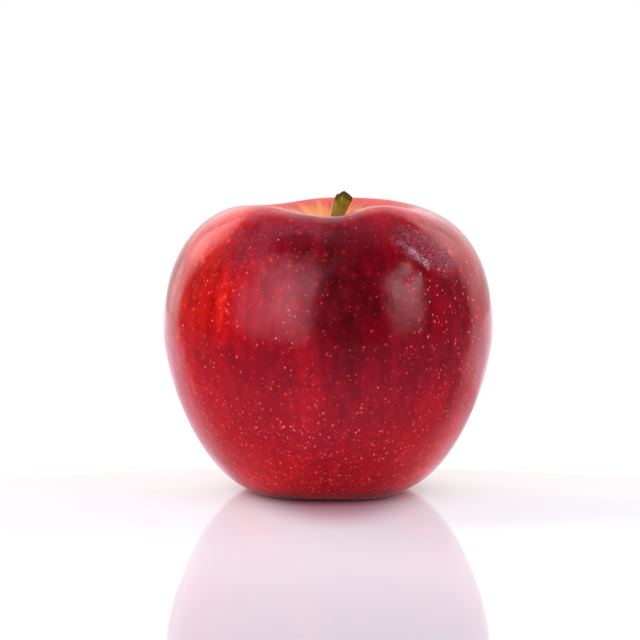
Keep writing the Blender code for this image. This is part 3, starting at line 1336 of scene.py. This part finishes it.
@dataclass
class Calyx:
    """The dried flower underneath: a wrinkled cup with five curled sepals and a tuft of stamens.

    Lengths are millimetres and angles are degrees. The cup's steps are how far in and how far out
    each goes. Sepals are a longitude, a relative length and a curl. The blade's start is a radius,
    a height and a half width, and its steps are how far out and up each goes and the half width
    that it ends with. Radii of the stamens are those of the root and of the neck.
    """

    node: str = "calyx"
    cup_radius: float = 3.4
    cup_depth: float = 1.5
    cup_top: float = 7.9
    cup_steps: tuple[tuple[float, float], ...] = (
        (0.5, 0.10),
        (0.5, -0.20),
        (0.7, -0.25),
        (0.8, -0.10),
    )
    cup_rim: float = 0.8
    cup_wrinkles: Wrinkles = Wrinkles("dry_wrinkles", 0.8, 1.0, 0.25)

    sepals: tuple[tuple[float, float, float], ...] = (
        (12.0, 1.00, 0.4),
        (86.0, 0.90, -0.5),
        (155.0, 1.06, 0.9),
        (229.0, 0.95, 0.0),
        (303.0, 1.02, -0.9),
    )
    blade_start: Point = (1.75, 6.9, 0.95)
    blade_root: float = 0.15
    blade_steps: tuple[Point, ...] = (
        (0.322, -1.066, 1.20),
        (0.598, -0.779, 1.42),
        (0.874, -0.492, 1.40),
        (0.920, -0.246, 1.18),
        (0.874, -0.041, 0.80),
        (0.644, 0.082, 0.34),
    )
    blade_thickness: float = 0.22
    crease: float = 0.22
    curl_step: float = 0.09
    margin: float = 0.1
    sepal_wrinkles: Wrinkles = Wrinkles("dry_creases", 0.9, 0.5, 0.30)

    stamens: int = 11
    stamen_length: float = 2.6
    stamen_radii: tuple[float, float] = (0.24, 0.11)
    stamen_bend: float = 0.35
    bend_share: float = 0.55
    tip_share: float = 0.90
    tip_swell: float = 1.9
    tuft_turn: float = 137.5
    tuft_twist: float = 35.0
    tuft_radii: tuple[float, float] = (0.28, 0.95)
    tuft_lengths: tuple[float, float] = (0.75, 0.25)
    tuft_rhythm: float = 2.4
    tuft_root: float = 0.2

    def build(self) -> bpy.types.Object:
        """Makes the dried flower in one piece.

        Returns:
            The dried flower, without its finish.
        """
        pieces = [self.cup()]
        blade, filament = self.blade(), self.filament()
        pieces += [self.sepal(blade, *sepal) for sepal in self.sepals]
        pieces += [self.stamen(filament, number) for number in range(self.stamens)]
        bpy.data.objects.remove(blade)
        bpy.data.objects.remove(filament)
        return Bench.join(pieces, "apple_dried_flower")

    def cup(self) -> bpy.types.Object:
        """Makes the cup that holds the sepals, with a ring and a dip in its lower face.

        Returns:
            The cup, in its place.
        """
        bpy.ops.object.select_all(action="DESELECT")
        bpy.ops.mesh.primitive_cylinder_add(
            vertices=40,
            radius=self.cup_radius * MM,
            depth=self.cup_depth * MM,
            location=(0.0, 0.0, (self.cup_top - 0.5 * self.cup_depth) * MM),
        )
        piece = Bench.set_down()
        Bench.pick(piece, "FACE", lambda face: face.normal.z < -0.9)
        for thickness, depth in self.cup_steps:
            Bench.inset(thickness, depth)
        Bench.pick(piece, "FACE", lambda face: face.normal.z > 0.9)
        Bench.inset(self.cup_rim)
        Bench.smooth(piece, 2)
        Bench.displace(piece, self.cup_wrinkles)
        bpy.ops.object.shade_smooth()
        return piece

    def blade(self) -> bpy.types.Object:
        """Makes one thin sepal along +X, drawn out step by step and creased along its middle.

        Returns:
            The form that all sepals share.
        """
        reach, height, width = self.blade_start
        bpy.ops.object.select_all(action="DESELECT")
        bpy.ops.mesh.primitive_grid_add(x_subdivisions=1, y_subdivisions=4, size=2.0 * MM)
        piece = bpy.context.object
        Bench.open_all()
        Bench.scale((self.blade_root, width, 1.0))
        Bench.move((reach, 0.0, height))
        edge = (reach + self.margin) * MM
        Bench.pick(piece, "VERT", lambda vertex: vertex.co.x > edge)
        bpy.ops.mesh.select_mode(type="EDGE")
        for out, up, next_width in self.blade_steps:
            step = Vector((out, 0.0, up)) * MM
            bpy.ops.mesh.extrude_region_move(TRANSFORM_OT_translate={"value": step})
            Bench.scale((1.0, next_width / width, 1.0))
            width = next_width
        Bench.pick(piece, "VERT", lambda vertex: abs(vertex.co.y) < 0.5 * self.margin * MM)
        Bench.move((0.0, 0.0, self.crease))
        Bench.put_down()
        return piece

    def sepal(
        self, blade: bpy.types.Object, longitude: float, length: float, curl: float
    ) -> bpy.types.Object:
        """One dried sepal: the blade copied, lengthened, curled and turned to its place.

        Args:
            blade: The form that all sepals share.
            longitude: Where it grows, in degrees.
            length: Its length next to the others'.
            curl: How far its tip turns up.

        Returns:
            The sepal, in its place.
        """
        piece = Bench.another(blade)
        root = self.blade_start[0] + self.blade_root
        Bench.scale((length, 1.0, 1.0), (root, 0.0, 0.0))
        for step in range(2, len(self.blade_steps)):
            drawn_out = sum(out for out, _, _ in self.blade_steps[: step + 1])
            edge = (root + length * drawn_out - self.margin) * MM
            Bench.pick(piece, "VERT", lambda vertex: vertex.co.x > edge)
            Bench.move((0.0, 0.0, self.curl_step * curl * (step - 1)))
        bpy.ops.mesh.select_all(action="SELECT")
        Bench.turn(longitude)
        Bench.apply(piece, "SOLIDIFY", thickness=self.blade_thickness * MM, offset=0.0)
        Bench.smooth(piece, 2)
        Bench.displace(piece, self.sepal_wrinkles)
        bpy.ops.object.shade_smooth()
        return piece

    def filament(self) -> bpy.types.Object:
        """Makes one withered stamen that hangs from the origin, bent to +X, with a swollen tip.

        Returns:
            The form that all stamens share.
        """
        length = self.stamen_length
        root, neck = self.stamen_radii
        bpy.ops.object.select_all(action="DESELECT")
        bpy.ops.mesh.primitive_cone_add(
            vertices=7,
            radius1=root * MM,
            radius2=neck * MM,
            depth=length * MM,
            location=(0.0, 0.0, -0.5 * length * MM),
            rotation=(math.pi, 0.0, 0.0),
        )
        piece = Bench.set_down()
        Bench.open_all()
        bpy.ops.mesh.subdivide(number_cuts=2)
        bend_at, tip_at = (-share * length * MM for share in (self.bend_share, self.tip_share))
        Bench.pick(piece, "VERT", lambda vertex: vertex.co.z < bend_at)
        Bench.move((self.stamen_bend, 0.0, 0.0))
        Bench.pick(piece, "VERT", lambda vertex: vertex.co.z < tip_at)
        Bench.scale((self.tip_swell,) * 3, (self.stamen_bend, 0.0, -length))
        Bench.smooth(piece, 1)
        bpy.ops.object.shade_smooth()
        return piece

    def stamen(self, filament: bpy.types.Object, number: int) -> bpy.types.Object:
        """One withered stamen: the filament copied, shortened, turned and set in the cup.

        Args:
            filament: The form that all stamens share.
            number: Which one it is, counted from the middle outwards.

        Returns:
            The stamen, in its place.
        """
        inner, spread = self.tuft_radii
        mean, swing = self.tuft_lengths
        turn = self.tuft_turn * number
        radius = inner + spread * math.sqrt(number / self.stamens)
        root = self.cup_top - self.cup_depth + self.tuft_root
        piece = Bench.another(filament)
        Bench.scale((1.0, 1.0, mean + swing * math.cos(self.tuft_rhythm * number)))
        Bench.turn(turn + self.tuft_twist)
        Bench.move(turned(turn, radius, root))
        Bench.put_down()
        return piece

    def dress(self, piece: bpy.types.Object) -> None:
        """Gives the dried flower its finish.

        Args:
            piece: The dried flower.
        """
        piece.data.materials.clear()
        piece.data.materials.append(DriedFlower().material())
        hand_over(piece, self.node)


class FloorPlace:
    """A place on the floor and the ray that meets it, as the sockets that its shaders read."""

    def __init__(self, sheet: Sheet) -> None:
        """Finds the place and the kind of ray.

        Args:
            sheet: Where the nodes go.
        """
        self.sheet = sheet
        self.place = sheet.add("TexCoord").outputs["Object"]
        self.across = sheet.part(self.place, "X")
        self.deep = sheet.part(self.place, "Y")
        self.away = sheet.vector("LENGTH", self.place)
        ray = sheet.add("LightPath")
        self.looked_at = ray.outputs["Is Camera Ray"]
        self.in_gloss = ray.outputs["Is Glossy Ray"]


@dataclass(frozen=True)
class PaleFloor:
    """A smooth pale sheet with a faint mirror image, which fades to white away from the apple.

    The fades follow how far a place is from the middle, to the right or to the back, in metres.
    Much of its look is painted light: a painted contact shadow, a painted red shadow, a darker
    painted front, a painted glow behind and a white glow in place of the lit floor.
    """

    radius: float = 0.60
    colour: Colour = (0.83, 0.87, 0.94)
    # Painted shade: the floor's colour is darker towards the viewer
    painted_front_shade_colour: Colour = (0.64, 0.67, 0.72)
    near: Fade = Fade(-0.06, -0.17)
    # Painted shadow where the apple touches the floor, dark and reddish
    painted_contact_shadow_colour: Colour = (0.57, 0.29, 0.38)
    painted_shadow_middle: Point = (0.002, -0.013, 0.0)
    painted_shadow_stretch: Point = (2.0, 1.0, 1.0)
    painted_contact_shadow: Fade = Fade(0.041, 0.014)
    # Painted red shadow close round the apple's foot, on the sheet and on its glow
    painted_red_shadow_tint: Colour = (1.00, 0.45, 0.50)
    painted_red_shadow_reach: Fade = Fade(0.0255, 0.0170)
    # Painted glow: the sheet gives off light behind the apple
    back_curve: float = 2.2
    painted_back_glow: Fade = Fade(0.027, 0.033, 0.0, 0.50)

    # The white glow is painted light: for the eye it covers the floor away from the apple and near
    # its foot, and it is the light that the floor gives off to the apple's other rays
    fade: Fade = Fade(0.17, 0.33)
    near_glow: Fade = Fade(0.012, 0.036)
    near_glow_end: Fade = Fade(0.130, 0.070)
    near_share: Fade = Fade(-0.020, 0.012, 0.11, 0.72)
    felt_middle: Point = (0.0, 0.12, 0.0)
    felt_fade: Fade = Fade(0.12, 0.50)
    felt_end: float = 0.15
    near_tint: Colour = (1.0, 0.955, 0.93)
    near_tint_fade: Fade = Fade(0.10, 0.18)

    # In the apple's gloss the glow's strength is painted: darker near the foot and to the right,
    # brighter further out
    mirrored_colour: Colour = (1.0, 0.87, 0.98)
    mirrored: Fade = Fade(-0.026, 0.006, 0.22, 1.05)
    mirrored_start: float = 0.045
    mirrored_slope: Fade = Fade(-0.01, 0.01, 0.62, 0.45)
    mirrored_painted_contact_shade: Fade = Fade(0.015, 0.030)
    mirrored_far: Fade = Fade(0.09, 0.16, 1.0, 1.45)
    painted_shade_right: Fade = Fade(0.03, 0.07, 1.0, 0.7)
    painted_shade_right_end: Fade = Fade(0.07, 0.11)

    def build(self) -> None:
        """Makes the floor."""
        bpy.ops.object.select_all(action="DESELECT")
        bpy.ops.mesh.primitive_circle_add(
            vertices=96, radius=self.radius, fill_type="NGON", location=ORIGIN
        )
        floor = bpy.context.object
        floor.name = "pale_floor"
        floor.data.materials.append(self.material())

    def material(self) -> bpy.types.Material:
        """Makes the floor's material.

        Returns:
            The material.
        """
        made, sheet = new_material("pale_gloss_sheet")
        at = FloorPlace(sheet)
        # rosy is the share of the painted red shadow
        rosy = self.painted_red_shadow_reach.on(sheet, at.away)
        share, gloss, glow = self.glow_share(at), self.gloss(at, rosy), self.glow(at, rosy)
        sheet.end("Material", sheet.mixed(share, gloss, glow))
        return made

    def gloss(self, at: FloorPlace, rosy: Socket) -> Socket:
        """Makes the glossy sheet, with a painted shadow and a painted red shadow where the apple
        touches it, a painted darker front and a painted glow behind.

        Args:
            at: The place on the floor.
            rosy: How far the place belongs to the painted red shadow round the apple.

        Returns:
            The shader.
        """
        sheet = at.sheet
        off_painted_shadow = sheet.vector("SUBTRACT", at.place, self.painted_shadow_middle)
        off_painted_shadow = sheet.vector("LENGTH", sheet.scaled(off_painted_shadow, self.painted_shadow_stretch))
        colour = sheet.blend(self.near.on(sheet, at.deep), self.colour, self.painted_front_shade_colour)
        colour = sheet.blend(self.painted_contact_shadow.on(sheet, off_painted_shadow), colour, self.painted_contact_shadow_colour)
        behind = sheet.total(at.deep, sheet.times(at.across, at.across, self.back_curve))
        shader = sheet.fill(
            sheet.add("BsdfPrincipled"),
            base_color=sheet.blend(rosy, colour, self.painted_red_shadow_tint, "MULTIPLY"),
            roughness=0.04,
            ior=1.60,
            emission_color=(*WHITE, 1.0),
            emission_strength=self.painted_back_glow.on(sheet, behind),
        )
        return shader.outputs[0]

    def glow_share(self, at: FloorPlace) -> Socket:
        """Finds how much of the white glow takes the gloss's place.

        Args:
            at: The place on the floor.

        Returns:
            The share, between 0 and 1, which is always 1 in a mirror image.
        """
        sheet = at.sheet
        off_middle = sheet.vector("DISTANCE", at.place, self.felt_middle)
        near = sheet.times(
            self.near_glow.on(sheet, at.away),
            self.near_glow_end.on(sheet, at.away),
            self.near_share.on(sheet, at.deep),
        )
        seen = sheet.number("MAXIMUM", self.fade.on(sheet, at.away), near)
        share = sheet.either(at.looked_at, self.felt_fade.on(sheet, off_middle), seen)
        return sheet.number("MAXIMUM", share, at.in_gloss)

    def glow(self, at: FloorPlace, rosy: Socket) -> Socket:
        """Makes the white glow, with its own strength and tint where the apple mirrors it; there
        its strength is painted, darker near the foot and to the right.

        Args:
            at: The place on the floor.
            rosy: How far the place belongs to the painted red shadow round the apple.

        Returns:
            The shader.
        """
        sheet = at.sheet
        past = sheet.number("SUBTRACT", sheet.number("ABSOLUTE", at.across), self.mirrored_start)
        past = sheet.number("MAXIMUM", past, 0.0)
        past = sheet.times(past, self.mirrored_slope.on(sheet, at.across))
        painted_shade_right = sheet.number(
            "MAXIMUM",
            self.painted_shade_right.on(sheet, at.across),
            self.painted_shade_right_end.on(sheet, at.away),
        )
        mirrored = sheet.times(
            self.mirrored.on(sheet, sheet.number("SUBTRACT", at.deep, past)),
            self.mirrored_painted_contact_shade.on(sheet, at.away),
            self.mirrored_far.on(sheet, at.away),
            painted_shade_right,
        )
        direct = sheet.either(at.looked_at, self.felt_end, 1.0)
        tint = sheet.blend(self.near_tint_fade.on(sheet, at.away), self.near_tint, WHITE)
        tint = sheet.blend(rosy, tint, self.painted_red_shadow_tint, "MULTIPLY")
        shader = sheet.fill(
            sheet.add("Emission"),
            color=sheet.blend(at.in_gloss, tint, self.mirrored_colour),
            strength=sheet.either(at.in_gloss, direct, mirrored),
        )
        return shader.outputs[0]


class LampSide(Enum):
    """Where a soft lamp stands."""

    LEFT_FRONT = "left_front"
    RIGHT_FRONT = "right_front"
    LEFT_BACK = "left_back"
    LEFT_LOW = "left_low"
    RIGHT_BACK = "right_back"
    BACK = "back"
    BACK_LOW = "back_low"
    LEFT_WRAP = "left_wrap"
    RIGHT_WRAP = "right_wrap"
    TOP = "top"
    FRONT_FILL = "front_fill"


def seen_at(bearing: float, elevation: float, distance: float) -> Point:
    """Finds a place round the apple's middle.

    Args:
        bearing: Degrees, 0 towards the viewer and positive to the right.
        elevation: Degrees above the level.
        distance: Metres from the apple's middle.

    Returns:
        The place in the fruit's frame.
    """
    level = distance * math.cos(math.radians(elevation))
    height = MIDDLE_HEIGHT + distance * math.sin(math.radians(elevation))
    return turned(bearing - 90.0, level, height)


@dataclass(frozen=True)
class SoftLamp:
    """A soft rectangular lamp that isn't seen itself, with its place and the point that it faces.

    Sizes and the feathered edges are metres, across and upward, and the roll is degrees. The lean
    is the share of the lamp over which it grows from dark to full, from the far end if negative.
    """

    side: LampSide
    place: Point
    aim: Point
    width: float
    height: float
    radiance: float
    colour: Colour = WHITE
    roll: float = 0.0
    mirrored: bool = True
    feather: tuple[float, float] = (0.02, 0.02)
    mottle: float = 0.0
    lean: tuple[float, float] = (0.0, 0.0)
    cloud: Grain = Grain(3.5, 3.0)
    cloud_range: tuple[float, float] = (0.35, 0.65)

    def soften(self, tree: bpy.types.NodeTree) -> None:
        """Fades the lamp towards its edges and makes its light slightly uneven.

        Args:
            tree: The lamp's node tree.
        """
        sheet = Sheet(tree)
        across = sheet.add("NewGeometry").outputs["Parametric"]
        clouds = Fade(*self.cloud_range, 1.0 - self.mottle, 1.0)
        shares = [clouds.on(sheet, self.cloud.on(sheet, across))]
        sides = zip("XY", (self.width, self.height), self.feather, self.lean)
        for name, size, feather, lean in sides:
            part = sheet.part(across, name)
            off_middle = sheet.number("ABSOLUTE", sheet.number("SUBTRACT", part, 0.5))
            from_edge = sheet.times(sheet.number("SUBTRACT", 0.5, off_middle), size)
            shares.append(Fade(0.0, feather).on(sheet, from_edge))
            if lean:
                first = 0.0 if lean > 0.0 else 1.0
                shares.append(Fade(first, first + lean).on(sheet, part))
        glow = sheet.fill(sheet.add("Emission"), strength=sheet.times(*shares))
        sheet.end("Light", glow.outputs[0])

    def build(self) -> None:
        """Hangs the lamp, which shows in the gloss only where it is mirrored."""
        data = bpy.data.lights.new("soft_lamp_" + self.side.value, "AREA")
        data.shape = "RECTANGLE"
        data.size = self.width
        data.size_y = self.height
        data.color = self.colour
        data.energy = self.radiance * math.pi * self.width * self.height
        data.use_nodes = True
        self.soften(data.node_tree)
        lamp = bpy.data.objects.new(data.name, data)
        bpy.context.scene.collection.objects.link(lamp)
        lamp.location = self.place
        facing = Vector(self.aim) - Vector(self.place)
        roll = Matrix.Rotation(math.radians(self.roll), 4, "Z")
        turn = facing.to_track_quat("-Z", "Y").to_matrix().to_4x4() @ roll
        lamp.rotation_euler = turn.to_euler()
        lamp.visible_camera = False
        lamp.visible_glossy = self.mirrored
        LOG.info("%s hangs at %s", lamp.name, tuple(round(part, 3) for part in lamp.location))


@dataclass(frozen=True)
class Studio:
    """Soft lamps, a plain white surround and the camera, whose angles are degrees."""

    surround: float = 0.10
    lamps: tuple[SoftLamp, ...] = (
        SoftLamp(
            LampSide.LEFT_FRONT, seen_at(-34.2, 22.5, 0.90), MIDDLE, 0.98, 1.42, 5.25,
            (0.97, 0.86, 1.0), roll=1.0, feather=(0.17, 0.58), mottle=0.50, lean=(0.62, 0.0),
        ),
        SoftLamp(
            LampSide.RIGHT_FRONT, seen_at(58.5, 14.5, 0.90), MIDDLE, 0.475, 0.75, 6.3,
            (0.98, 0.94, 1.0), feather=(0.10, 0.18), mottle=0.20, lean=(0.0, 0.75),
        ),
        SoftLamp(
            LampSide.LEFT_BACK, seen_at(-130.5, 29.0, 0.80), MIDDLE, 0.40, 0.56, 3.2,
            (1.0, 0.48, 0.48), feather=(0.02, 0.16),
        ),
        SoftLamp(
            LampSide.LEFT_LOW, seen_at(-137.0, 4.0, 0.80), MIDDLE, 0.34, 0.28, 1.1,
            (1.0, 0.82, 0.84), feather=(0.05, 0.10),
        ),
        SoftLamp(
            LampSide.RIGHT_BACK, seen_at(128.0, 31.0, 0.80), MIDDLE, 0.38, 0.42, 1.0,
            feather=(0.05, 0.14),
        ),
        SoftLamp(
            LampSide.BACK, (0.1975, 0.60, 0.507), (0.1975, 0.0, 0.507), 2.175, 0.78, 1.1,
            roll=3.0,
        ),
        SoftLamp(
            LampSide.BACK_LOW, (0.1975, 0.61, 0.037), (0.1975, 0.0, 0.037), 2.175, 0.200, 0.80,
            (1.0, 0.95, 0.90), roll=3.0, feather=(0.002, 0.006),
        ),
        SoftLamp(
            LampSide.LEFT_WRAP, seen_at(-118.0, 12.0, 0.90), MIDDLE, 0.8, 0.7, 5.0,
            mirrored=False,
        ),
        SoftLamp(
            LampSide.RIGHT_WRAP, seen_at(112.0, 8.0, 0.90), MIDDLE, 0.8, 0.6, 5.0,
            mirrored=False,
        ),
        SoftLamp(
            LampSide.TOP, seen_at(0.0, 68.0, 0.80), MIDDLE, 0.6, 0.5, 2.0, mirrored=False
        ),
        SoftLamp(
            LampSide.FRONT_FILL, seen_at(-4.0, 12.0, 0.90), MIDDLE, 0.9, 0.7, 2.4,
            mirrored=False,
        ),
    )
    camera_distance: float = 0.630
    camera_elevation: float = 7.2
    camera_tilt: float = 6.573
    camera_turn: float = 0.18
    aim_height: float = 0.034
    lens: float = 147.66

    def light(self) -> None:
        """Makes the surround, white to look at and dim as a light, and hangs the lamps."""
        world = bpy.data.worlds.new("white_surround")
        world.use_nodes = True
        sheet = Sheet(world.node_tree)
        looked_at = sheet.add("LightPath").outputs["Is Camera Ray"]
        felt, seen = (
            sheet.fill(sheet.add("Background"), color=(*WHITE, 1.0), strength=strength).outputs[0]
            for strength in (self.surround, 1.0)
        )
        sheet.end("World", sheet.mixed(looked_at, felt, seen))
        bpy.context.scene.world = world
        bpy.context.scene.view_settings.view_transform = "Standard"
        for lamp in self.lamps:
            lamp.build()

    def place_camera(self) -> None:
        """Sets up the camera at the viewer's place, a little above the apple's crest."""
        data = bpy.data.cameras.new("viewer")
        data.lens = self.lens
        data.sensor_width = 36.0
        data.clip_start = 0.01
        data.clip_end = 20.0
        camera = bpy.data.objects.new("viewer", data)
        bpy.context.scene.collection.objects.link(camera)
        elevation = math.radians(self.camera_elevation)
        camera.location = (
            0.0,
            -self.camera_distance * math.cos(elevation),
            self.aim_height + self.camera_distance * math.sin(elevation),
        )
        tilt, turn = math.radians(90.0 - self.camera_tilt), math.radians(self.camera_turn)
        camera.rotation_euler = (tilt, 0.0, turn)
        bpy.context.scene.camera = camera


def main() -> None:
    """Loads the frame, builds and dresses each piece, lights the scene and notes the sizes."""
    logging.basicConfig(level=logging.INFO, format="%(name)s: %(message)s")
    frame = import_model()
    studio = Studio()
    studio.place_camera()
    for piece in (Fruit(), Stem()):
        piece.dress(piece.build(frame["nodes"]))
    calyx = Calyx()
    calyx.dress(calyx.build())
    PaleFloor().build()
    studio.light()


if __name__ == "__main__":
    main()
